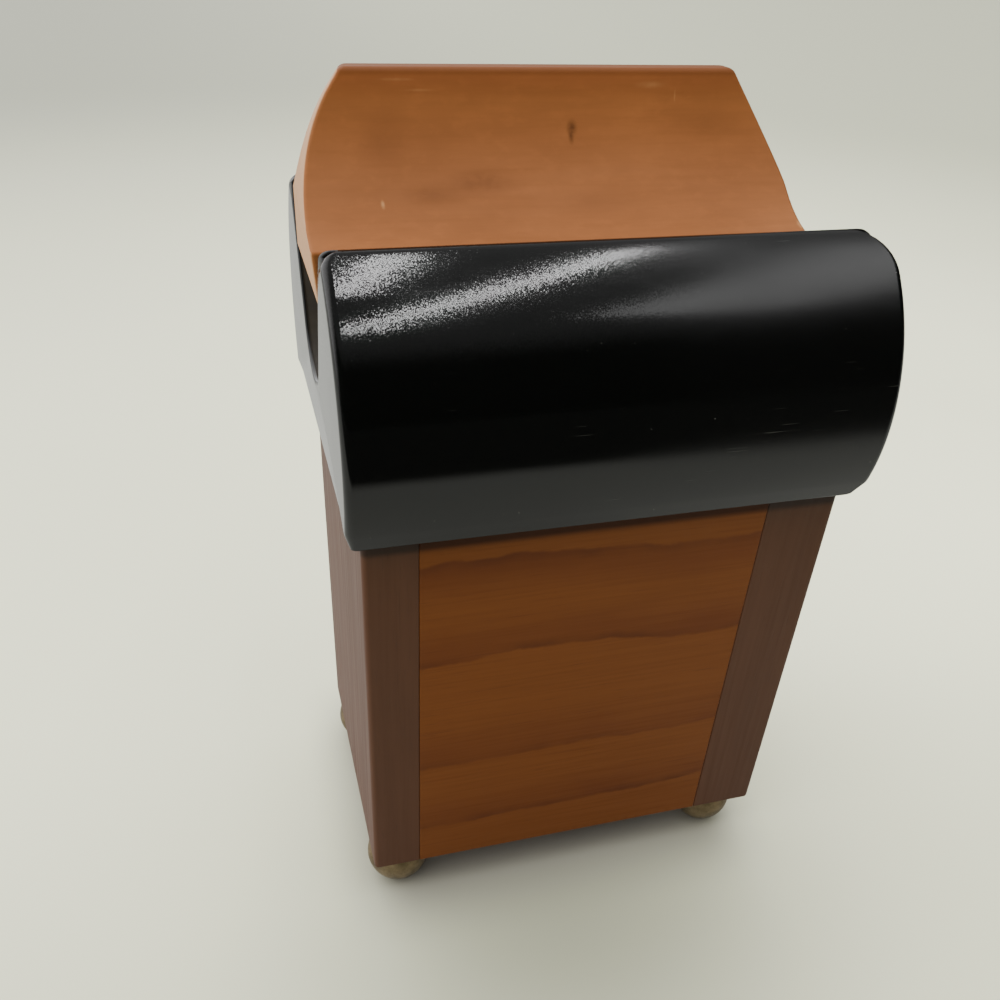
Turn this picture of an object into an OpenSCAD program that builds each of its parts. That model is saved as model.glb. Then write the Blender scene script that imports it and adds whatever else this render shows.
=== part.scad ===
// Small wooden keepsake box on ball feet, with a lacquered lift-off lid and a loose wooden crown
// that lies in the groove of the lid. Millimetres, +Z up, front towards -Y.
// The origin is on the surface that the feet stand on, under the middle of the whole.

/* [Box] */
// Width of the box, across the front
body_w = 100; // [80:1:140]
// Depth of the box, front to back
body_d = 66.5; // [56:0.5:90]
// Height of the box walls
body_h = 97; // [60:0.5:140]
// Thickness of the left side board
left_side_t = 11; // [10:0.5:18]
// Thickness of the right side board
right_side_t = 16; // [10:0.5:20]
// Thickness of the front and back panels
panel_t = 9; // [7:0.5:10]
// Thickness of the floor board
floor_t = 8; // [6:0.5:12]
// Height of the floor board above the lower edge of the walls
floor_lift = 8; // [3:0.5:12]
// Rounding of the upright outer edges of the side boards
side_edge_r = 1.2; // [0.5:0.1:3]

/* [Joinery] */
// Thickness of the tongues on the panels and the floor
tongue_t = 3; // [2:0.25:4]
// Length of the tongues
tongue_l = 3; // [2:0.25:4]
// Glue gap around a tongue, on each side
glue_gap = 0.1; // [0.05:0.05:0.3]

/* [Feet] */
// Diameter of a ball foot
foot_d = 15; // [10:0.5:20]
// Depth of the flat on top of a foot, where it meets the box
foot_seat = 2.6; // [1:0.1:4]
// Depth of the flat worn under a foot
foot_flat = 0.4; // [0.2:0.1:1]
// Distance of the left feet from the left face of the box
left_foot_in = 7; // [5:0.5:8]
// Distance of the right feet from the right face of the box
right_foot_in = 9; // [6:0.5:11]
// Distance of the feet from the front and back faces of the box
foot_in_y = 8.5; // [8:0.5:14]
// Diameter of the stud that holds a foot
stud_d = 4; // [3:0.5:5]
// Wood left between the top of a stud and the slot for the floor
stud_wood = 1.4; // [0.8:0.1:3]
// Length of the stud inside the foot
stud_in_foot = 6; // [4:0.5:7]
// Gap around a stud, on each side
stud_gap = 0.05; // [0.02:0.01:0.1]

/* [Lid] */
// How far the lid stands out past the left side of the box
lid_over_left = 3.3; // [1:0.1:8]
// How far the lid stands out past the right side of the box
lid_over_right = 2; // [1:0.1:8]
// How far the lower edges of the lid stand out past the front and back of the box
lid_over_y = 4.3; // [0.5:0.1:6]
// Height of the centre of the lid's round front and back above its underside
lid_axis_h = 15.9; // [10:0.1:20]
// Rounding of the end edges of the lid
lid_edge_r = 2.2; // [1:0.1:4]
// Thickness of the board that locates the lid in the mouth of the box
plug_t = 5; // [3:0.5:10]
// Gap between that board and the walls of the box, on each side
plug_gap = 0.8; // [0.3:0.1:1.5]

/* [Groove] */
// Height of the bottom of the groove above the underside of the lid
groove_floor_h = 16.5; // [10:0.1:20]
// Radius of the bottom of the groove
groove_r = 10.9; // [6:0.1:14]
// Lean of the groove walls, from upright
groove_lean = 24.6; // [18:0.2:30]
// Width of the flat top of the lid on each side of the groove
tip_w = 2.4; // [1:0.1:6]

/* [Crown] */
// Length of the crown along the groove
crown_len = 90.5; // [70:0.5:98]
// How far the crown stands out past the left end of the lid
crown_out = 1; // [0:0.1:3]
// Height of the underside of the crown above the bottom of the groove
crown_foot_h = 20.8; // [14:0.1:26]
// How far the sides of the crown follow the groove walls above its underside
crown_seat_h = 10.6; // [6:0.2:14]
// Height of the crown above its seat, up to the ridge
crown_rise = 24.4; // [14:0.1:30]
// Width of the flat ridge
ridge_w = 4; // [2:0.5:10]
// Radius of the hollow of the two flanks
flank_r = 26; // [24:1:200]
// Radius of the round shoulders at both ends
shoulder_r = 35; // [32:1:60]
// Height above the seat at which the shoulders start to round in
shoulder_h = 2; // [1:0.5:6]
// Gap between the crown and the groove walls
crown_gap = 0.3; // [0.2:0.05:0.6]

/* [Hidden] */
$fn = 96;
over = 1;

foot_cz = foot_d / 2 - foot_flat;
foot_h = foot_d - foot_flat - foot_seat;
box_z = foot_h;
box_top = box_z + body_h;
whole_w = crown_out + lid_over_left + body_w + lid_over_right;
left_x = crown_out + lid_over_left - whole_w / 2;
right_x = left_x + body_w;
mouth_left = left_x + left_side_t;
mouth_right = right_x - right_side_t;
mouth_w = mouth_right - mouth_left;
mouth_d = body_d - 2 * panel_t;
floor_z = box_z + floor_lift;
tongue_z = floor_z + (floor_t - tongue_t) / 2;
tongue_y = (body_d - panel_t) / 2;
slot_t = tongue_t + 2 * glue_gap;
slot_l = tongue_l + glue_gap;

foot_left_x = left_x + left_foot_in;
foot_right_x = right_x - right_foot_in;
foot_y = body_d / 2 - foot_in_y;
foot_places = [[foot_left_x, -foot_y], [foot_right_x, -foot_y],
               [foot_left_x, foot_y], [foot_right_x, foot_y]];
stud_top = tongue_z - glue_gap - stud_wood;

lid_x0 = left_x - lid_over_left;
lid_x1 = right_x + lid_over_right;
lid_len = lid_x1 - lid_x0;
lid_half_d = body_d / 2 + lid_over_y;
lid_r = sqrt(lid_half_d * lid_half_d + lid_axis_h * lid_axis_h);
lid_axis_z = box_top + lid_axis_h;
groove_floor_z = box_top + groove_floor_h;
groove_cz = groove_floor_z + groove_r;

// Height at which the lid between the groove and its round outside is as thick as its flat tops are wide
tip_from = [groove_r / cos(groove_lean) + tip_w, groove_cz - lid_axis_z];
tip_along = tip_from * [sin(groove_lean), cos(groove_lean)];
tip_run = sqrt(tip_along * tip_along + lid_r * lid_r - tip_from * tip_from) - tip_along;
tip_z = groove_cz + tip_run * cos(groove_lean);
lid_top = lid_axis_z + lid_r;

// Half width of the groove, less a gap, at a height above its round bottom
function groove_half(z, gap = 0) = (groove_r - gap + sin(groove_lean) * (z - groove_cz)) / cos(groove_lean);

crown_x0 = lid_x0 - crown_out;
crown_x1 = crown_x0 + crown_len;
crown_z0 = groove_floor_z + crown_foot_h;
crown_seat_z = crown_z0 + crown_seat_h;
crown_top = crown_seat_z + crown_rise;
eave = [groove_half(crown_seat_z, crown_gap), crown_seat_z];
ridge_edge = [ridge_w / 2, crown_top];

// Centre of the hollow of a flank, outside the chord from the eave to the ridge
flank_chord = norm(ridge_edge - eave);
flank_out = [ridge_edge[1] - eave[1], eave[0] - ridge_edge[0]] / flank_chord;
flank_c = (eave + ridge_edge) / 2 + flank_out * sqrt(flank_r * flank_r - flank_chord * flank_chord / 4);
shoulder_in = sqrt(shoulder_r * shoulder_r - shoulder_h * shoulder_h);

// Lays an outline drawn in Y and Z along X, from x0 to x1
module along_x(x0, x1) {
    translate([x0, 0, 0]) rotate([90, 0, 90]) linear_extrude(x1 - x0) children();
}

// Plan of a side board of thickness t, with its outer upright edges rounded, outer face at x = 0
module side_plan(t) {
    translate([side_edge_r, -body_d / 2]) square([t - side_edge_r, body_d]);
    translate([0, -body_d / 2 + side_edge_r]) square([t, body_d - 2 * side_edge_r]);
    for (s = [-1, 1]) translate([side_edge_r, s * (body_d / 2 - side_edge_r)]) circle(side_edge_r);
}

// A side board, outer face at x = 0 and inner face at x = t, with slots for the tongues
module side_board(t) {
    difference() {
        translate([0, 0, box_z]) linear_extrude(body_h) side_plan(t);
        for (s = [-1, 1]) translate([t - slot_l, s * tongue_y - slot_t / 2, box_z - over])
            cube([slot_l + over, slot_t, body_h + 2 * over]);
        translate([t - slot_l, -tongue_y, tongue_z - glue_gap]) cube([slot_l + over, 2 * tongue_y, slot_t]);
    }
}

// The bores for the two studs of one side
module stud_bores(places) {
    for (p = places)
        translate([p[0], p[1], box_z - over])
            cylinder(d = stud_d + 2 * stud_gap, h = stud_top + stud_gap - box_z + over);
}

module left_side() {
    color("#51392b") difference() {
        translate([left_x, 0, 0]) side_board(left_side_t);
        stud_bores([foot_places[0], foot_places[2]]);
    }
}

module right_side() {
    color("#49322a") difference() {
        translate([right_x, 0, 0]) mirror([1, 0, 0]) side_board(right_side_t);
        stud_bores([foot_places[1], foot_places[3]]);
    }
}

// A panel between the side boards, with a tongue at each end and a slot for the floor;
// s is -1 for the front and 1 for the back
module panel(s) {
    slot_y = s < 0 ? -mouth_d / 2 - slot_l : mouth_d / 2 - over;
    difference() {
        union() {
            translate([mouth_left, s * tongue_y - panel_t / 2, box_z]) cube([mouth_w, panel_t, body_h]);
            translate([mouth_left - tongue_l, s * tongue_y - tongue_t / 2, box_z])
                cube([mouth_w + 2 * tongue_l, tongue_t, body_h]);
        }
        translate([mouth_left - tongue_l - over, slot_y, tongue_z - glue_gap])
            cube([mouth_w + 2 * tongue_l + 2 * over, slot_l + over, slot_t]);
    }
}

module front_panel() { color("#7a4520") panel(-1); }

module back_panel() { color("#7a4520") panel(1); }

module floor_board() {
    color("#6b4226") union() {
        translate([mouth_left + glue_gap, -mouth_d / 2 + glue_gap, floor_z])
            cube([mouth_w - 2 * glue_gap, mouth_d - 2 * glue_gap, floor_t]);
        translate([mouth_left - tongue_l, -mouth_d / 2 - tongue_l, tongue_z])
            cube([mouth_w + 2 * tongue_l, mouth_d + 2 * tongue_l, tongue_t]);
    }
}

// A ball foot at one place, flat under the box and worn flat below, with the bore for its stud
module foot(p) {
    color("#6e5a3c") translate([p[0], p[1], 0]) difference() {
        translate([0, 0, foot_cz]) sphere(d = foot_d);
        translate([-foot_d, -foot_d, foot_h]) cube([2 * foot_d, 2 * foot_d, foot_d]);
        translate([-foot_d, -foot_d, -foot_d]) cube([2 * foot_d, 2 * foot_d, foot_d]);
        translate([0, 0, foot_h - stud_in_foot - stud_gap])
            cylinder(d = stud_d + 2 * stud_gap, h = stud_in_foot + stud_gap + over);
    }
}

module foot_front_left() { foot(foot_places[0]); }

module foot_front_right() { foot(foot_places[1]); }

module foot_back_left() { foot(foot_places[2]); }

module foot_back_right() { foot(foot_places[3]); }

module foot_studs() {
    color("#8a7a55") for (p = foot_places)
        translate([p[0], p[1], foot_h - stud_in_foot])
            cylinder(d = stud_d, h = stud_top - foot_h + stud_in_foot);
}

// Outline of the groove, open at the top
module groove_outline() {
    translate([0, groove_cz]) circle(groove_r);
    wall_foot = groove_r * [cos(groove_lean), -sin(groove_lean)] + [0, groove_cz];
    mouth = groove_half(lid_top);
    polygon([[-wall_foot[0], wall_foot[1]], wall_foot, [mouth, lid_top], [-mouth, lid_top]]);
}

// The round lid with rounded end edges: half of its lengthwise outline, turned about its axis
module lid_round() {
    translate([lid_x0, 0, lid_axis_z]) rotate([0, 90, 0]) rotate_extrude() {
        square([lid_r - lid_edge_r, lid_len]);
        translate([0, lid_edge_r]) square([lid_r, lid_len - 2 * lid_edge_r]);
        for (x = [lid_edge_r, lid_len - lid_edge_r]) translate([lid_r - lid_edge_r, x]) circle(lid_edge_r);
    }
}

module lid_saddle() {
    color("#101010") difference() {
        lid_round();
        translate([-lid_len, -2 * lid_r, box_top - 2 * lid_r]) cube([2 * lid_len, 4 * lid_r, 2 * lid_r]);
        translate([-lid_len, -2 * lid_r, tip_z]) cube([2 * lid_len, 4 * lid_r, 2 * lid_r]);
        along_x(lid_x0 - over, lid_x1 + over) groove_outline();
    }
}

module lid_plug() {
    color("#2a1c14")
        translate([mouth_left + plug_gap, -mouth_d / 2 + plug_gap, box_top - plug_t])
        cube([mouth_w - 2 * plug_gap, mouth_d - 2 * plug_gap, plug_t]);
}

// Section of the crown in Y and Z before its flanks are hollowed:
// a wedge that fits the groove, and a block on it
module crown_block_section() {
    foot_half = groove_half(crown_z0, crown_gap);
    wall_z = crown_seat_z + over;
    wall_half = groove_half(wall_z, crown_gap);
    polygon([[-foot_half, crown_z0], [foot_half, crown_z0], [wall_half, wall_z],
             [wall_half, crown_top], [-wall_half, crown_top], [-wall_half, wall_z]]);
}

// What is taken off one end of the crown: the corner outside the round shoulder, for an end at x = 0
module shoulder_cut() {
    difference() {
        translate([-over, -lid_r, crown_seat_z]) cube([shoulder_in + over, 2 * lid_r, crown_rise + over]);
        translate([shoulder_in, -lid_r - over, crown_seat_z]) rotate([-90, 0, 0])
            cylinder(r = shoulder_r, h = 2 * (lid_r + over), $fn = 180);
    }
}

module crown() {
    color("#a8703f") difference() {
        along_x(crown_x0, crown_x1) crown_block_section();
        for (s = [-1, 1]) translate([crown_x0 - over, s * flank_c[0], flank_c[1]]) rotate([0, 90, 0])
            cylinder(r = flank_r, h = crown_len + 2 * over, $fn = 180);
        translate([crown_x0, 0, 0]) shoulder_cut();
        translate([crown_x1, 0, 0]) mirror([1, 0, 0]) shoulder_cut();
    }
}

left_side();
right_side();
front_panel();
back_panel();
floor_board();
foot_front_left();
foot_front_right();
foot_back_left();
foot_back_right();
foot_studs();
lid_saddle();
lid_plug();
crown();
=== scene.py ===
import math

import bmesh
import bpy
from mathutils import Matrix, Vector


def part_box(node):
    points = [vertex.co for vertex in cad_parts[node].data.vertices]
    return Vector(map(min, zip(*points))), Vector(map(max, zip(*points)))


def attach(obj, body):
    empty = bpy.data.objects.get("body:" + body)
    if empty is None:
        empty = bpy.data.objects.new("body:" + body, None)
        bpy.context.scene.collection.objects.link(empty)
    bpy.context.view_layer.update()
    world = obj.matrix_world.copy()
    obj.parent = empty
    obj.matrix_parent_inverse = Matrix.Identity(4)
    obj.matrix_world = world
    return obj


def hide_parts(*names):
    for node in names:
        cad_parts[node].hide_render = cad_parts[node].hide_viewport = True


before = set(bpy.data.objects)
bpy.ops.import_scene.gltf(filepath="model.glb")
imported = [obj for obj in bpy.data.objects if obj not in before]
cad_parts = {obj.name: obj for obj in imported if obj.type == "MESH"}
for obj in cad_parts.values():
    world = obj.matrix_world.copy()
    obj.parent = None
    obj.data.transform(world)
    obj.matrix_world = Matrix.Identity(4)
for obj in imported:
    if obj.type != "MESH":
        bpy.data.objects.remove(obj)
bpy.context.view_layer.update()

MM = 0.001
SHARP_ANGLE, MERGE_DISTANCE = math.radians(32), 1e-7
# Heights between which the wood gets a painted shadow under the lid's overhang
LID_SHADE = (103.6, 105.3)
scene = bpy.context.scene


# Materials

class Nodes:
    """Short ways to add nodes to a node tree."""

    def __init__(self, tree):
        self.tree = tree

    def put(self, socket, value):
        if isinstance(value, bpy.types.NodeSocket):
            self.tree.links.new(value, socket)
        elif isinstance(value, tuple) and socket.type == "RGBA":
            socket.default_value = (*value[:3], 1)
        else:
            socket.default_value = value

    def add(self, kind, inputs=None, **props):
        node = self.tree.nodes.new(kind)
        for key, value in props.items():
            setattr(node, key, value)
        for key, value in (inputs or {}).items():
            self.put(node.inputs[key], value)
        return node

    def span(self, value, low, high, start=0.0, end=1.0, smooth=False):
        """Takes low..high to start..end and stays there outside."""
        kind = "SMOOTHSTEP" if smooth else "LINEAR"
        inputs = {"Value": value, "From Min": low, "From Max": high, "To Min": start, "To Max": end}
        return self.add("ShaderNodeMapRange", inputs, interpolation_type=kind).outputs["Result"]

    def mix(self, fac, a, b):
        node = self.add("ShaderNodeMix", data_type="RGBA")
        self.put(node.inputs[0], fac)
        self.put(node.inputs[6], a)
        self.put(node.inputs[7], b)
        return node.outputs[2]

    def math(self, operation, a, b=0.0):
        node = self.add("ShaderNodeMath", operation=operation)
        self.put(node.inputs[0], a)
        self.put(node.inputs[1], b)
        return node.outputs[0]

    def vector(self, operation, a, b=(0, 0, 0), output="Vector"):
        node = self.add("ShaderNodeVectorMath", operation=operation)
        self.put(node.inputs[0], a)
        self.put(node.inputs[1], b)
        return node.outputs[output]

    def axes(self, vector):
        return self.add("ShaderNodeSeparateXYZ", {"Vector": vector}).outputs

    def join(self, x, y, z):
        return self.add("ShaderNodeCombineXYZ", {"X": x, "Y": y, "Z": z}).outputs[0]


class Material(Nodes):
    """A procedural material. Its textures use the part's own coordinates, in millimetres."""

    def __init__(self, name, **sockets):
        self.material = bpy.data.materials.new(name)
        self.material.use_nodes = True
        super().__init__(self.material.node_tree)
        self.bsdf = self.tree.nodes["Principled BSDF"]
        coords = self.add("ShaderNodeTexCoord").outputs["Object"]
        self.place = self.mapped(coords, (1 / MM,) * 3)
        for key, value in sockets.items():
            self.set(key.replace("_", " "), value)

    def set(self, socket, value):
        self.put(self.bsdf.inputs[socket], value)

    def mapped(self, vector, scale, location=(0, 0, 0), rotation=(0, 0, 0)):
        inputs = {"Vector": vector, "Scale": scale, "Location": location, "Rotation": rotation}
        return self.add("ShaderNodeMapping", inputs).outputs[0]

    def noise(self, scale, location=(0, 0, 0), detail=2.0, roughness=0.5, distortion=0.0,
              rotation=(0, 0, 0), output="Fac"):
        """Noise with a period of about 1 / scale millimetres along each axis."""
        inputs = {"Vector": self.mapped(self.place, scale, location, rotation), "Scale": 1.0,
                  "Detail": detail, "Roughness": roughness, "Distortion": distortion}
        return self.add("ShaderNodeTexNoise", inputs).outputs[output]

    def spot(self, centre, size):
        """1 at a place in the part, falling to 0 at size millimetres from it along each axis."""
        offset = self.vector("DIVIDE", self.vector("SUBTRACT", self.place, centre), size)
        return self.span(self.vector("LENGTH", offset, output="Value"), 1.0, 0.0, smooth=True)

    def painted_overhang_shadow(self, tone, overhang_shadow_color):
        """Paints shadow on the strip that the lid's overhang shades."""
        height = self.axes(self.place)[2]
        return self.mix(self.span(height, *LID_SHADE, 0, 0.85, smooth=True), tone, overhang_shadow_color)

    def bump(self, height, distance):
        """distance is the height of a full step, in millimetres. Each call goes over the last one."""
        inputs = {"Height": height, "Strength": 1.0, "Distance": distance * MM}
        if self.bsdf.inputs["Normal"].is_linked:
            inputs["Normal"] = self.bsdf.inputs["Normal"].links[0].from_socket
        self.set("Normal", self.add("ShaderNodeBump", inputs).outputs[0])


def along(axis, slow, fast):
    """Texture scale for a grain that runs along an axis: slow along it, fast across."""
    return tuple(slow if i == axis else fast for i in range(3))


def shade(color, factor):
    return tuple(c * factor for c in color)


def plain_wood(name, color, axis, contrast=1.0):
    """Straight-grained satin wood with soft streaks and fine pores along the grain."""
    m = Material(name, Specular_IOR_Level=0.3)
    broad = m.noise(along(axis, 0.012, 0.07), detail=3.0, distortion=0.4)
    fibre = m.noise(along(axis, 0.03, 1.1), (7, 3, 5), detail=3.0, roughness=0.6)
    pores = m.span(m.noise(along(axis, 0.14, 3.0), (1, 9, 4)), 0.62, 0.74)
    pale, deep = shade(color, 1 + 0.12 * contrast), shade(color, 1 - 0.14 * contrast)
    tone = m.mix(m.span(broad, 0.3, 0.7), deep, pale)
    tone = m.mix(m.span(fibre, 0.4, 0.75, 0, 0.35 * contrast), tone, shade(color, 0.7))
    tone = m.mix(m.span(pores, 0, 1, 0, 0.3 * contrast), tone, shade(color, 0.35))
    # Painted shadow on the strip under the lid's overhang
    m.set("Base Color", m.painted_overhang_shadow(tone, shade(color, 0.25)))
    m.set("Roughness", m.span(fibre, 0.3, 0.7, 0.42, 0.55))
    m.bump(fibre, 0.010)
    m.bump(m.span(pores, 0, 1, 1, 0), 0.012)
    return m


# Dark growth lines across the panels: height, and how far the red beside each line fades (up is positive)
RINGS = ((98.5, -12.0), (74.5, 13.0), (43.5, 16.0), (23.0, 13.0))


def panel_wood(name):
    """Golden-brown wood with a few wavy growth lines, each with a soft reddish band on one side."""
    gold, red, dark = (0.136, 0.0405, 0.0076), (0.104, 0.0272, 0.0060), (0.056, 0.0132, 0.0040)
    m = Material(name, Specular_IOR_Level=0.14)
    z = m.axes(m.place)[2]
    sway = m.noise((0.020, 0.02, 0.012), (3, 0, 1), detail=1.0)
    ripple = m.noise((0.10, 0.03, 0.10), (0, 5, 2), detail=3.0, roughness=0.6)
    wander = m.math("ADD", m.span(sway, 0, 1, -6.0, 6.0), m.span(ripple, 0, 1, -1.6, 1.6))
    height = m.math("ADD", z, wander)
    band = line = 0.0
    for ring, fade in RINGS:
        way = math.copysign(1.0, fade)
        edge = m.span(height, ring - way * 0.7, ring + way * 0.3, smooth=True)
        reddened = m.math("MULTIPLY", edge, m.span(height, ring + fade, ring, smooth=True))
        band = m.math("MAXIMUM", reddened, band)
        darkened = m.math("MULTIPLY", edge, m.span(height, ring + way * 2.2, ring))
        line = m.math("MAXIMUM", darkened, line)
    broken = m.span(m.noise((0.06, 0.06, 0.05), (5, 2, 2), detail=2.0), 0.38, 0.62, 0.1, 0.6)
    fibre = m.noise((0.03, 1.0, 1.2), (7, 3, 5), detail=3.0, roughness=0.6)
    pores = m.span(m.noise((0.09, 2.6, 2.8), (1, 9, 4)), 0.64, 0.75)
    cloud = m.noise((0.03, 0.05, 0.06), (1, 1, 6), detail=2.0)
    tone = m.mix(m.math("MULTIPLY", band, m.span(cloud, 0.3, 0.6, 0.45, 1.0)), gold, red)
    tone = m.mix(m.math("MULTIPLY", line, broken), tone, dark)
    tone = m.mix(m.span(fibre, 0.42, 0.75, 0, 0.3), tone, shade(red, 0.8))
    tone = m.mix(m.span(pores, 0, 1, 0, 0.3), tone, dark)
    # Painted shadow on the strip under the lid's overhang
    m.set("Base Color", m.painted_overhang_shadow(tone, shade(dark, 0.4)))
    m.set("Roughness", m.span(fibre, 0.3, 0.7, 0.40, 0.52))
    m.bump(fibre, 0.010)
    return m


# Marks on the crown's front: place, size, and strength
SMUDGES = (((-22, -9, 164), (9, 4, 3.5), 0.8), ((-31, -10.5, 162.5), (9, 4, 3), 0.7),
           ((-3, -12, 161), (14, 5, 3), 0.4), ((-38, -5, 171), (6, 4, 9), 0.5),
           ((22, -4, 172), (12, 4, 4), 0.4))
KNOT = (((-4.2, -4.3, 171.6), (1.3, 2, 2.0), 0.9), ((-4.4, -4.6, 170.2), (0.7, 2, 1.8), 0.8))
NICKS = (((-39.6, -11.8, 161.5), (0.5, 2, 0.9), 0.8), ((10.6, -2.3, 178.2), (4.0, 2, 0.8), 0.3),
         ((-35.5, -2.2, 179.0), (4.5, 2, 0.35), 0.25), ((-31.5, -2.4, 177.4), (3.5, 2, 0.3), 0.2),
         ((15.5, -2.6, 176.5), (0.25, 2, 1.6), 0.25), ((36.9, -18.6, 157.8), (0.8, 2, 1.2), 0.6))
# Heights over which the crown's wood turns redder, and then darker on the ridge itself
RED_TOP, DARK_RIDGE = (175, 181), (179.4, 180.4)


def crown_wood(name):
    """Matt orange-brown wood with painted light on its end faces, faint mottling, smudges, pale nicks and a
    dark knot.
    """
    color, lit_end_color, nick_color = (0.252, 0.090, 0.0280), (0.46, 0.27, 0.15), (0.50, 0.26, 0.11)
    red, dark = (0.215, 0.060, 0.0190), (0.120, 0.040, 0.0120)
    m = Material(name, Specular_IOR_Level=0.1)
    facing = m.math("ABSOLUTE", m.axes(m.add("ShaderNodeTexCoord").outputs["Normal"])[0])
    cloud = m.noise((0.03, 0.05, 0.05), (4, 1, 2), detail=4.0, roughness=0.6)
    fibre = m.noise((0.05, 0.7, 0.7), (2, 6, 1), detail=4.0, roughness=0.65)
    mottle = m.noise((0.30, 0.5, 0.5), (1, 2, 9), detail=4.0, roughness=0.6)
    tone = m.mix(m.span(cloud, 0.3, 0.7), shade(color, 0.86), shade(color, 1.08))
    tone = m.mix(m.span(fibre, 0.45, 0.8, 0, 0.35), tone, shade(color, 0.70))
    tone = m.mix(m.span(mottle, 0.5, 0.8, 0, 0.35), tone, shade(color, 1.25))
    ragged = m.span(mottle, 0.3, 0.6, 0.3, 1.0)
    for marks, ink in ((SMUDGES, shade(color, 0.6)), (KNOT, shade(color, 0.18)), (NICKS, nick_color)):
        for centre, size, strength in marks:
            spot = m.span(m.spot(centre, size), 0, 1, 0, strength)
            tone = m.mix(m.math("MULTIPLY", spot, ragged), tone, ink)
    height = m.axes(m.place)[2]
    tone = m.mix(m.span(height, *RED_TOP, 0, 0.4, smooth=True), tone, red)
    tone = m.mix(m.span(height, *DARK_RIDGE, 0, 0.6), tone, dark)
    # Painted light: the end faces, which face along X, are painted paler
    m.set("Base Color", m.mix(m.span(facing, 0.55, 0.85, 0, 0.8, smooth=True), tone, lit_end_color))
    m.set("Roughness", m.span(fibre, 0.3, 0.7, 0.50, 0.62))
    m.bump(fibre, 0.012)
    return m


# Where the scuffs fade out along the lid, where the gloss dulls, and where the groove's dust ends
WORN_X, DULL_X, DUST_ENDS = (20, -15), (-15, 25), (51.8, 51.0)
# The scuffs: flecks per millimetre, and how far they lean the surface
FLECK_SCALE, FLECK_LEAN = 4.2, 0.115


def lacquer(name, axis_z, radius, scuffed_from):
    """Black gloss lacquer with fine scuffs above a height, dust in the groove, some specks and scratches."""
    black, speck, dusty = (0.0022, 0.0024, 0.0022), (0.30, 0.30, 0.28), (0.075, 0.066, 0.052)
    m = Material(name, Specular_IOR_Level=0.5)
    x, y, z = m.axes(m.place)
    scuffed = m.span(z, scuffed_from, scuffed_from + 8, smooth=True)
    worn = m.math("MULTIPLY", scuffed, m.span(x, *WORN_X, 0.15, 1.0))
    deep = m.vector("LENGTH", m.join(0.0, y, m.math("SUBTRACT", z, axis_z)), output="Value")
    groove = m.math("MULTIPLY", m.span(deep, radius - 3, radius - 5), m.span(z, axis_z - 2, axis_z))
    groove = m.math("MULTIPLY", groove, m.span(m.math("ABSOLUTE", x), *DUST_ENDS))
    peel = m.noise((0.08, 0.2, 0.2), (2, 2, 2), detail=2.0)
    rub = m.noise((0.03, 0.10, 0.10), (3, 3, 3), detail=4.0, roughness=0.65)
    dust = m.span(m.noise((1.5, 1.5, 1.5), (5, 1, 7), detail=1.0), 0.81, 0.84, 0, 0.35)
    scratch = m.span(m.noise((0.11, 4.0, 4.0), (1, 4, 2), detail=1.0, rotation=(0, 0.7, 0.9)), 0.72, 0.78)
    scratched = m.span(m.noise((0.06, 0.06, 0.06), (6, 2, 1)), 0.52, 0.64, 0, 0.1)
    tone = m.mix(m.math("MAXIMUM", dust, m.math("MULTIPLY", scratch, scratched)), black, speck)
    dusted = m.math("MULTIPLY", groove, m.span(rub, 0.3, 0.7, 0.5, 1.0))
    m.set("Base Color", m.mix(dusted, tone, dusty))
    gloss = m.math("ADD", m.span(rub, 0.35, 0.75, 0.07, 0.13), m.span(x, *DULL_X, 0, 0.12, smooth=True))
    m.set("Roughness", m.math("MAXIMUM", gloss, m.span(groove, 0, 1, 0, 0.5)))
    m.bump(peel, 0.012)
    flecks = m.noise((FLECK_SCALE,) * 3, detail=1.0, output="Color")
    flecks = m.vector("SUBTRACT", flecks, (0.5, 0.5, 0.5))
    lean = m.vector("MULTIPLY", flecks, m.span(worn, 0, 1, 0, FLECK_LEAN))
    lean = m.vector("ADD", m.bsdf.inputs["Normal"].links[0].from_socket, lean)
    m.set("Normal", m.vector("NORMALIZE", lean))
    return m


def brass(name, tint):
    """Aged brass: dark brown patches over a dull yellow metal."""
    m = Material(name, Metallic=1.0)
    patch = m.noise((0.22, 0.22, 0.22), detail=4.0, roughness=0.65)
    fine = m.noise((1.6, 1.6, 1.6), (3, 1, 2), detail=3.0)
    m.set("Base Color", m.mix(m.span(patch, 0.35, 0.65), tint, shade(tint, 0.5)))
    m.set("Roughness", m.span(fine, 0.3, 0.7, 0.38, 0.55))
    m.bump(fine, 0.01)
    return m


# Meshes, in millimetres in the part's frame

def make(name, verts, faces, body, nodes, material):
    """A piece that stands for the given CAD nodes and moves with a body."""
    mesh = bpy.data.meshes.new(name)
    mesh.from_pydata([Vector(v) * MM for v in verts], [], faces)
    bm = bmesh.new()
    bm.from_mesh(mesh)
    bmesh.ops.remove_doubles(bm, verts=bm.verts, dist=MERGE_DISTANCE)
    bmesh.ops.triangulate(bm, faces=[f for f in bm.faces if len(f.verts) > 4], ngon_method="BEAUTY")
    bmesh.ops.recalc_face_normals(bm, faces=bm.faces)
    bm.to_mesh(mesh)
    bm.free()
    mesh.shade_smooth()
    mesh.set_sharp_from_angle(angle=SHARP_ANGLE)
    mesh.materials.append(material.material)
    obj = bpy.data.objects.new(name, mesh)
    scene.collection.objects.link(obj)
    obj.modifiers.new("flat_normals", "WEIGHTED_NORMAL").keep_sharp = True
    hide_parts(*nodes)
    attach(obj, body)


def loft(rings):
    """Vertices and faces of a closed body through rings of equal length."""
    n = len(rings[0])
    verts = [p for ring in rings for p in ring]
    faces = [(r * n + i, r * n + (i + 1) % n, (r + 1) * n + (i + 1) % n, (r + 1) * n + i)
             for r in range(len(rings) - 1) for i in range(n)]
    faces.append(tuple(range(n - 1, -1, -1)))
    faces.append(tuple(range((len(rings) - 1) * n, len(rings) * n)))
    return verts, faces


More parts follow.
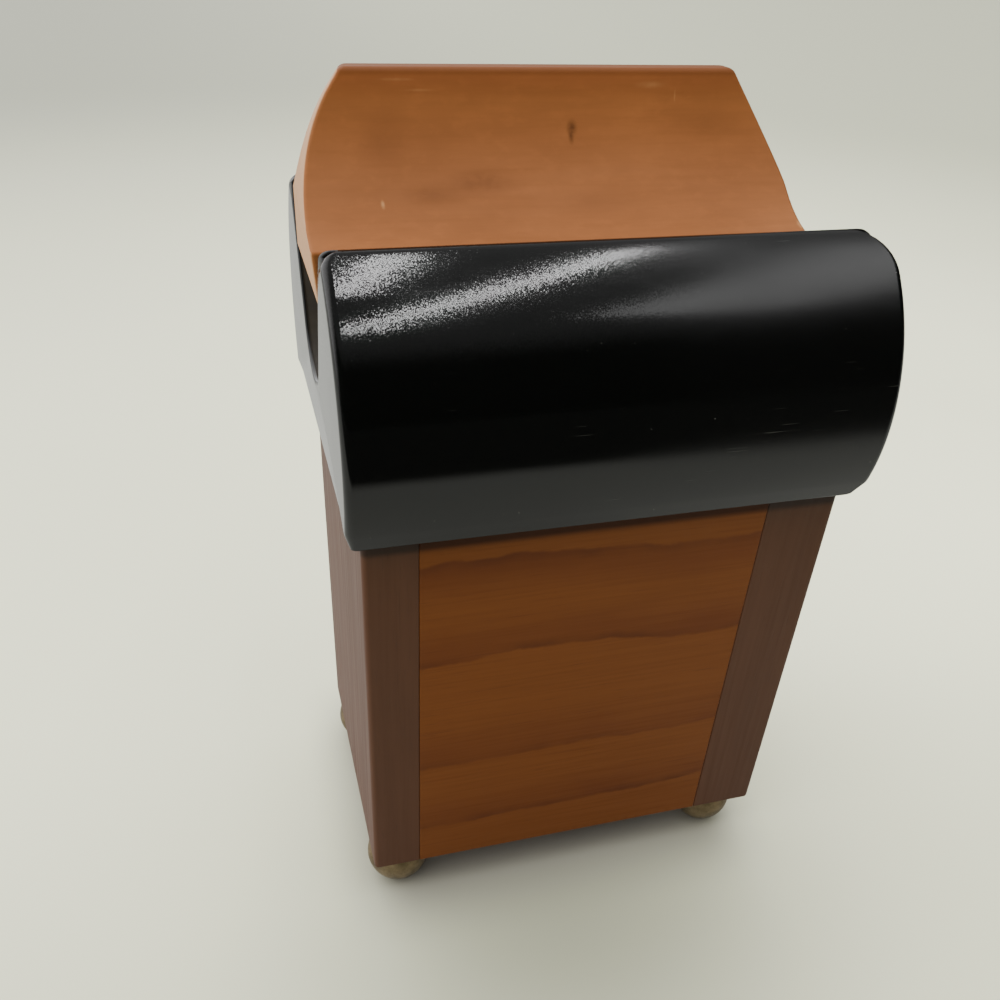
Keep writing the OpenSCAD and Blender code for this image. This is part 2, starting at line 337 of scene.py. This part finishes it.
def round_corner(before, corner, after, radius, steps):
    """Points of an arc that takes off a corner of an outline."""
    before, corner, after = Vector(before), Vector(corner), Vector(after)
    a, b = (before - corner).normalized(), (after - corner).normalized()
    half = a.angle(b) / 2
    centre = corner + (a + b).normalized() * (radius / math.sin(half))
    start = corner + a * (radius / math.tan(half)) - centre
    end = corner + b * (radius / math.tan(half)) - centre
    turn = start.angle_signed(end)
    return [centre + Matrix.Rotation(-turn * i / steps, 2) @ start for i in range(steps + 1)]


def rounded(points, radii, steps=5):
    """A closed outline with each corner taken off by its own radius."""
    out = []
    for i, (p, r) in enumerate(zip(points, radii)):
        out += round_corner(points[i - 1], p, points[(i + 1) % len(points)], r, steps)
    return out


def inset(outline, depths):
    """The outline drawn inwards by a depth at each point. It runs anticlockwise."""
    out = []
    n = len(outline)
    for i, depth in enumerate(depths):
        side_a = (outline[i] - outline[i - 1]).normalized()
        side_b = (outline[(i + 1) % n] - outline[i]).normalized()
        normal = Vector((-side_a.y - side_b.y, side_a.x + side_b.x)).normalized()
        out.append(outline[i] + normal * depth)
    return out


def prism(outline, start, end, depths, place, steps=5, pulls=None):
    """Lofts an outline from start to end with both end edges rounded. place puts (u, v, s) into X, Y, Z.

    pulls has a list for each end, with how far that end is drawn in at each point of the outline."""
    turns = [math.pi / 2 * i / steps for i in range(steps + 1)]
    levels = [(1 - math.sin(t), 1 - math.cos(t)) for t in turns]
    pulls = pulls or [[0.0] * len(outline)] * 2
    rings = []
    for sign, origin, order, pull in ((1, start, reversed(levels), pulls[0]), (-1, end, levels, pulls[1])):
        for out, back in order:
            ring = inset(outline, [d * back for d in depths])
            rings.append([place(p.x, p.y, origin + sign * (d * out + extra))
                          for p, d, extra in zip(ring, depths, pull)])
    return loft(rings)


def corners(node):
    """The low and high corner of a CAD node's box, in millimetres."""
    low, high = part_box(node)
    return [c / MM for c in low], [c / MM for c in high]


# The box: side boards, panels and feet

SIDE_ROUND, SEAM_ROUND, TOP_ROUND = 1.2, 0.3, 0.3
X_AXIS, Z_AXIS = 0, 2
side_mat = plain_wood("dark_side_wood", (0.071, 0.0246, 0.0090), Z_AXIS, contrast=0.6)
panel_mat = panel_wood("banded_panel_wood")


def upright(name, node, spans, radii, material):
    """An upright board over the node's height, with its own rounding at each upright corner."""
    (x0, x1), (y0, y1) = spans
    z0, z1 = corners(node)[0][2], corners(node)[1][2]
    outline = rounded([(x0, y0), (x1, y0), (x1, y1), (x0, y1)], radii)
    verts, faces = prism(outline, z0, z1, [TOP_ROUND] * len(outline), lambda u, v, s: (u, v, s))
    make(name, verts, faces, "box", [node], material)


def side(name, node, radii):
    (x0, y0, _), (x1, y1, _) = corners(node)
    upright(name, node, ((x0, x1), (y0, y1)), radii, side_mat)


side("left_board", "left_side", [SIDE_ROUND, SEAM_ROUND, SEAM_ROUND, SIDE_ROUND])
side("right_board", "right_side", [SEAM_ROUND, SIDE_ROUND, SIDE_ROUND, SEAM_ROUND])

MOUTH_X = (corners("left_side")[1][0], corners("right_side")[0][0])


def panel(name, node):
    (_, y0, _), (_, y1, _) = corners(node)
    upright(name, node, (MOUTH_X, (y0, y1)), [SEAM_ROUND] * 4, panel_mat)


panel("front_board", "front_panel")
panel("back_board", "back_panel")

FOOT_D, FOOT_FLAT = 15.0, 0.4
FOOT_STEPS, FOOT_TURNS, FOOT_SOFT = 26, 48, 0.3
foot_mat = brass("aged_brass", (0.31, 0.235, 0.130))


def lathe(profile, centre):
    """A closed body turned about an upright axis. profile runs upwards as (radius, z)."""
    turns = [2 * math.pi * i / FOOT_TURNS for i in range(FOOT_TURNS)]
    return loft([[(centre[0] + r * math.cos(t), centre[1] + r * math.sin(t), z) for t in turns]
                 for r, z in profile])


def foot(name, node):
    """A ball foot with a soft edge round its worn underside."""
    (x0, y0, z0), (x1, y1, z1) = corners(node)
    radius, middle = FOOT_D / 2, FOOT_D / 2 - FOOT_FLAT
    low, high = math.acos(middle / radius), math.pi - math.acos((z1 - middle) / radius)
    turns = [low + (high - low) * i / FOOT_STEPS for i in range(FOOT_STEPS + 1)]
    profile = [(radius * math.sin(t), middle - radius * math.cos(t)) for t in turns]
    profile[0] = (profile[0][0] - FOOT_SOFT, z0)
    verts, faces = lathe(profile, ((x0 + x1) / 2, (y0 + y1) / 2))
    make(name, verts, faces, "box", [node], foot_mat)


for corner in ("front_left", "front_right", "back_left", "back_right"):
    foot("ball_" + corner, "foot_" + corner)


# The lid: a round bar with a flat underside and a groove along its top

LID_AXIS_H, GROOVE_FLOOR_H, GROOVE_R, GROOVE_LEAN, TIP_R = 15.9, 16.5, 10.9, math.radians(24.6), 2.0
LID_END_ROUND, LID_LOW_ROUND, LID_TIP_ROUND, LID_LIP_ROUND, LID_FOOT_ROUND = 1.8, 1.6, 1.7, 0.8, 0.8
# How far up the round side the lower edge's rounding aims, and where the side goes on, in radians
FOOT_AIM, FOOT_CLEAR = 0.06, 0.09
LID_STEPS, LID_FOOT_STEPS, TIP_STEPS, WALL_STEPS, GROOVE_STEPS = 26, 4, 12, 8, 10
# Radii of the upper and of the lower corners, each at the lid's left and right end
TIP_CORNERS, FOOT_CORNERS = (3.0, 9.0), (2.5, 4.5)
LID_Z = corners("lid_saddle")[0][2]
LID_R = (corners("lid_saddle")[1][1] - corners("lid_saddle")[0][1]) / 2
SCUFF_H = 24.0
lid_mat = lacquer("black_lacquer", LID_Z + LID_AXIS_H, LID_R, LID_Z + SCUFF_H)


def lid_half():
    """Half of the lid's section in Y and Z, from the underside round to the groove, and its outer corners.

    Each point comes with the depth of the end rounding there."""
    axis_z, radius = LID_Z + LID_AXIS_H, LID_R
    groove_z = LID_Z + GROOVE_FLOOR_H + GROOVE_R
    reach = GROOVE_R + TIP_R + math.sin(GROOVE_LEAN) * (axis_z - groove_z)
    tip_turn = math.acos(reach / (radius - TIP_R)) - GROOVE_LEAN
    tip = Vector(((radius - TIP_R) * math.cos(tip_turn), axis_z + (radius - TIP_R) * math.sin(tip_turn)))
    foot_turn = math.asin(-LID_AXIS_H / radius)
    half = []

    def arc(centre, r, a, b, steps, depth_a, depth_b):
        for i in range(steps + 1):
            t = a + (b - a) * i / steps
            depth = depth_a + (depth_b - depth_a) * i / steps
            half.append((Vector(centre) + r * Vector((math.cos(t), math.sin(t))), depth))

    near = foot_turn + FOOT_AIM
    foot_point = Vector((radius * math.cos(foot_turn), LID_Z))
    above = Vector((0, axis_z)) + radius * Vector((math.cos(near), math.sin(near)))
    half += [(p, LID_FOOT_ROUND) for p in
             round_corner((0, LID_Z), foot_point, above, LID_FOOT_ROUND, LID_FOOT_STEPS)]
    middle = (foot_turn + tip_turn) / 2
    arc((0, axis_z), radius, foot_turn + FOOT_CLEAR, middle, LID_STEPS, LID_LOW_ROUND, LID_END_ROUND)
    half.pop()
    arc((0, axis_z), radius, middle, tip_turn, LID_STEPS, LID_END_ROUND, LID_TIP_ROUND)
    half.pop()
    arc(tip, TIP_R, tip_turn, math.pi - GROOVE_LEAN, TIP_STEPS, LID_TIP_ROUND, LID_LIP_ROUND)
    top_of_wall = half[-1][0]
    end_of_wall = Vector((0, groove_z)) + GROOVE_R * Vector((math.cos(GROOVE_LEAN), -math.sin(GROOVE_LEAN)))
    half += [(top_of_wall.lerp(end_of_wall, i / WALL_STEPS), LID_LIP_ROUND) for i in range(1, WALL_STEPS)]
    arc((0, groove_z), GROOVE_R, -GROOVE_LEAN, -math.pi / 2, GROOVE_STEPS, LID_LIP_ROUND, LID_LIP_ROUND)
    return half, foot_point, tip + Vector((0, TIP_R))


def corner_pull(distance, radius):
    """How far an end is drawn in by a rounded corner, at a distance from that corner."""
    short = radius - distance
    return radius - math.sqrt(radius ** 2 - short ** 2) if short > 0 else 0.0


def lid():
    half, foot_point, tip_point = lid_half()
    other = [(Vector((-p.x, p.y)), d) for p, d in reversed(half[:-1])]
    outline, depths = [p for p, _ in half + other], [d for _, d in half + other]
    sides = [Vector((abs(p.x), p.y)) for p in outline]
    pulls = [[corner_pull((p - foot_point).length, foot_r) + corner_pull((p - tip_point).length, tip_r)
              for p in sides] for foot_r, tip_r in zip(FOOT_CORNERS, TIP_CORNERS)]
    (x0, _, _), (x1, _, _) = corners("lid_saddle")
    verts, faces = prism(outline, x0, x1, depths, lambda u, v, s: (s, u, v), steps=7, pulls=pulls)
    make("lacquered_lid", verts, faces, "lid", ["lid_saddle"], lid_mat)


lid()


# The crown: level slices, each a rectangle with soft corners

CROWN_GAP, CROWN_SEAT_H, RIDGE_W, FLANK_R = 0.3, 10.6, 4.0, 26.0
CROWN_EDGE, EAVE_ROUND, RIDGE_ROUND, RIDGE_WEAR = 0.7, 0.5, 0.9, 0.5
SHOULDER_R, SHOULDER_H, SHOULDER_TILT = 38.0, 2.0, 0.27
END_TUCK, TUCK_BEND = 1.2, 1.3
SLANT_FROM, SLANT, SLANT_BEND = 5.5, 0.205, 1.35
FLANK_STEPS = 26
# The most of a slice's half width that its soft corners take
SOFT_SHARE = 0.45
crown_mat = crown_wood("matt_crown_wood")


def crown_profile():
    """The edge of the crown's section from the underside up, and the height of the seat.

    Each point is (half width, height), with how far the top and bottom roundings pull the ends in there."""
    z0, top = corners("crown")[0][2], corners("crown")[1][2] - RIDGE_WEAR
    groove_z = LID_Z + GROOVE_FLOOR_H + GROOVE_R

    def wall(z):
        return (GROOVE_R - CROWN_GAP + math.sin(GROOVE_LEAN) * (z - groove_z)) / math.cos(GROOVE_LEAN)

    seat = z0 + CROWN_SEAT_H
    eave, ridge = Vector((wall(seat), seat)), Vector((RIDGE_W / 2, top))
    chord = ridge - eave
    out = Vector((chord.y, -chord.x)).normalized()
    centre = (eave + ridge) / 2 + out * math.sqrt(FLANK_R ** 2 - chord.length_squared / 4)
    a, b = [math.atan2(*(p - centre).yx) % (2 * math.pi) for p in (eave, ridge)]
    turns = [a + (b - a) * i / FLANK_STEPS for i in range(FLANK_STEPS + 1)]
    flank = [centre + FLANK_R * Vector((math.cos(t), math.sin(t))) for t in turns]
    points = [(p, wall(p.y) - p.x) for p in round_corner((0, z0), (wall(z0), z0), eave, CROWN_EDGE, 4)]
    points += [(p, 0.0) for p in round_corner((wall(z0), z0), eave, flank[2], EAVE_ROUND, 4)]
    points += [(p, 0.0) for p in flank[2:-3]]
    points += [(p, max(0.0, ridge.x - p.x))
               for p in round_corner(flank[-4], ridge, (0, top), RIDGE_ROUND, 8)]
    return points, seat


def tuck(rise):
    """How far both ends are drawn in below the seat."""
    return END_TUCK * (max(0.0, -rise) / CROWN_SEAT_H) ** TUCK_BEND


def left_end(rise):
    """How far the left end is drawn in at a height over the seat: a round shoulder, and a tuck below."""
    start, here = [math.sqrt(SHOULDER_R ** 2 - h ** 2) for h in (SHOULDER_H, max(rise, SHOULDER_H))]
    return tuck(rise) + start - here


def right_end(rise):
    """The same for the right end, which is straighter."""
    return tuck(rise) + SLANT * max(0.0, rise - SLANT_FROM) ** SLANT_BEND


def crown():
    (x0, _, _), (x1, _, _) = corners("crown")
    points, seat = crown_profile()
    rings = []
    for point, pull in points:
        half, rise = point.x, point.y - seat
        fronts, backs = [], []
        for end in (left_end, right_end):
            fronts.append(pull + end(rise))
            backs.append(pull + max(end(rise), end(rise + SHOULDER_TILT * 2 * half)))
        soft = min(CROWN_EDGE, half * SOFT_SHARE)
        outline = rounded([(x0 + fronts[0], -half), (x1 - fronts[1], -half), (x1 - backs[1], half),
                           (x0 + backs[0], half)], [soft] * 4, 4)
        rings.append([(p.x, p.y, point.y) for p in outline])
    verts, faces = loft(rings)
    make("wooden_crown", verts, faces, "crown", ["crown"], crown_mat)


crown()


# CAD nodes that keep their own shape

inside_mat = plain_wood("bare_inside_wood", (0.24, 0.12, 0.06), X_AXIS)
stud_mat = brass("plain_brass", (0.55, 0.42, 0.20))
for node, material in (("floor_board", inside_mat), ("lid_plug", inside_mat), ("foot_studs", stud_mat)):
    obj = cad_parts[node]
    obj.data.materials.clear()
    obj.data.materials.append(material.material)


# Floor, light and camera

FLOOR_SIZE = 6.0
# Floor tones. FLOOR_FAR is also the tone of a painted falloff of light, FLOOR_SHADE a painted shadow under
# the box
FLOOR_NEAR, FLOOR_FAR = (0.80, 0.81, 0.57), (0.36, 0.37, 0.26)
FLOOR_SHADE = (0.17, 0.155, 0.145)
# What glossy rays see of the floor: a painted darker reflection, near-black far off
MIRRORED_NEAR, MIRRORED_FAR = (0.30, 0.305, 0.275), (0.002, 0.002, 0.002)
# On the floor, in millimetres: the painted soft shadow before the box (centre and size), the painted shadow
# under it, how the painted light falls off with distance, and where the mirrored part ends
FRONT_SHADE = (-10, -58, 0), (100, 75, 1)
UNDER_X, UNDER_Y = (62, 38), (52, 24)
AWAY, MIRRORED_Y = (230, 1000), (-205, -262)


def floor():
    """A pale floor with painted light and shade: darker far off, lighter to the right, darker towards the
    front and close round the box. Glossy rays see a painted darker floor, near-black past its nearer part.
    """
    m = Material("pale_floor", Roughness=0.6)
    cloud = m.noise((0.004, 0.004, 0.004), detail=2.0)
    x, y, _ = m.axes(m.place)
    # Painted light: the floor lighter towards the right, darker towards the left
    near = m.mix(m.span(x, -150, 250, smooth=True), shade(FLOOR_NEAR, 0.86), shade(FLOOR_NEAR, 1.18))
    far = m.mix(m.span(x, -300, 500, smooth=True), shade(FLOOR_FAR, 0.78), shade(FLOOR_FAR, 1.22))
    # Painted falloff of light: the floor darkens far off
    away = m.span(m.vector("LENGTH", m.place, output="Value"), *AWAY, smooth=True)
    tone = m.mix(away, m.mix(cloud, near, shade(FLOOR_NEAR, 0.96)), far)
    # Painted shade: the floor darker towards the front
    tone = m.mix(m.span(y, 60, -90, 0, 0.35, smooth=True), tone, FLOOR_FAR)
    # Painted shadow before the box
    tone = m.mix(m.span(m.spot(*FRONT_SHADE), 0, 1, 0, 0.9), tone, shade(FLOOR_FAR, 0.9))
    # Painted shadow under the box
    under = m.math("MULTIPLY", m.span(m.math("ABSOLUTE", x), *UNDER_X, smooth=True),
                   m.span(m.math("ABSOLUTE", y), *UNDER_Y, smooth=True))
    tone = m.mix(m.span(under, 0, 1, 0, 0.85), tone, FLOOR_SHADE)
    # Painted reflection: glossy rays see the floor darker, near-black past its nearer part
    mirrored = m.mix(m.span(y, *MIRRORED_Y, smooth=True), MIRRORED_NEAR, MIRRORED_FAR)
    m.set("Base Color", m.mix(m.add("ShaderNodeLightPath").outputs["Is Glossy Ray"], tone, mirrored))
    mesh = bpy.data.meshes.new("studio_floor")
    s = FLOOR_SIZE
    mesh.from_pydata([(-s, -s, 0), (s, -s, 0), (s, s, 0), (-s, s, 0)], [], [(0, 1, 2, 3)])
    mesh.materials.append(m.material)
    obj = bpy.data.objects.new("studio_floor", mesh)
    scene.collection.objects.link(obj)


floor()

# The spreads are cosines of the angle from the brightest direction, the edges are parts of a unit direction
SKY_FROM, SKY_DARK, SKY_LIGHT = Vector((-0.55, 0.62, 0.56)).normalized(), 0.04, 3.9
MIRROR_FROM, MIRROR_LIGHT = Vector((-0.6, 0.75, 0.3)).normalized(), 2.3
SKY_SPREAD, MIRROR_SPREAD = (-0.35, 0.9), (0.25, 0.95)
CEILING, CEILING_EDGE_Z, CEILING_EDGE_Y = (0.25, 0.6), (0.46, 0.66), (-0.3, 0.1)
BACKDROP = (0.75, 0.75, 0.70)


def sky():
    """A soft light dome, bright above and behind. The gloss mirrors its back left and a dim ceiling."""
    world = bpy.data.worlds.new("studio_world")
    world.use_nodes = True
    n = Nodes(world.node_tree)
    direction = n.add("ShaderNodeTexCoord").outputs["Generated"]
    path = n.add("ShaderNodeLightPath").outputs
    lit = n.vector("DOT_PRODUCT", direction, tuple(SKY_FROM), "Value")
    lit = n.span(lit, *SKY_SPREAD, SKY_DARK, SKY_LIGHT, smooth=True)
    mirrored = n.vector("DOT_PRODUCT", direction, tuple(MIRROR_FROM), "Value")
    mirrored = n.span(mirrored, *MIRROR_SPREAD, 0.0, MIRROR_LIGHT, smooth=True)
    _, y, z = n.axes(direction)
    overhead = n.span(z, *CEILING_EDGE_Z, smooth=True)
    ceiling = n.math("MULTIPLY", overhead, n.span(y, *CEILING_EDGE_Y, *CEILING))
    mirrored = n.math("MAXIMUM", mirrored, ceiling)
    background = world.node_tree.nodes["Background"]
    tone = n.mix(path["Is Glossy Ray"], lit, mirrored)
    n.put(background.inputs["Color"], n.mix(path["Is Camera Ray"], tone, BACKDROP))
    n.put(background.inputs["Strength"], 1.0)
    scene.world = world


sky()

CEILING_H = 1.2


def strip(name, start, end, width, power):
    """A long ceiling light from start to end, shining down."""
    start, end = Vector(start), Vector(end)
    light = bpy.data.lights.new(name, "AREA")
    light.shape, light.size, light.size_y = "RECTANGLE", width, (end - start).length
    light.energy = power
    obj = bpy.data.objects.new(name, light)
    across = (end - start).cross(Vector((0, 0, 1))).normalized()
    turn = Matrix((across, (end - start).normalized(), Vector((0, 0, 1)))).transposed().to_4x4()
    obj.matrix_world = Matrix.Translation((start + end) / 2) @ turn
    scene.collection.objects.link(obj)


strip("near_tube", (0.10, -1.02, CEILING_H), (0.45, -0.13, CEILING_H), 0.032, 3.0)
strip("far_tube", (0.075, -0.50, CEILING_H), (0.14, -0.07, CEILING_H), 0.038, 1.25)
strip("soft_patch", (0.72, -1.03, CEILING_H), (0.92, -0.20, CEILING_H), 0.42, 2.6)

CAMERA_PLACE = (-0.06798, -0.17977, 0.21049)
CAMERA_YAW, CAMERA_PITCH, CAMERA_ROLL = 0.30614, 0.6433, -0.0604
CAMERA_SHIFT = (0.0, 0.08)
FOCAL_PX, FRAME_PX, SENSOR_MM = 973.25, 1000, 36


def camera():
    """A pinhole camera fitted to the photo's view of the box."""
    data = bpy.data.cameras.new("camera")
    data.sensor_width = SENSOR_MM
    data.lens = SENSOR_MM * FOCAL_PX / FRAME_PX
    data.shift_x, data.shift_y = CAMERA_SHIFT
    data.clip_start, data.clip_end = 0.01, 50
    obj = bpy.data.objects.new("camera", data)
    scene.collection.objects.link(obj)
    forward = Vector((math.sin(CAMERA_YAW) * math.cos(CAMERA_PITCH),
                      math.cos(CAMERA_YAW) * math.cos(CAMERA_PITCH), -math.sin(CAMERA_PITCH)))
    level = Vector((math.cos(CAMERA_YAW), -math.sin(CAMERA_YAW), 0))
    down = forward.cross(level)
    right = level * math.cos(CAMERA_ROLL) + down * math.sin(CAMERA_ROLL)
    up = -(down * math.cos(CAMERA_ROLL) - level * math.sin(CAMERA_ROLL))
    turn = Matrix((right, up, -forward)).transposed().to_4x4()
    obj.matrix_world = Matrix.Translation(CAMERA_PLACE) @ turn
    scene.camera = obj


camera()
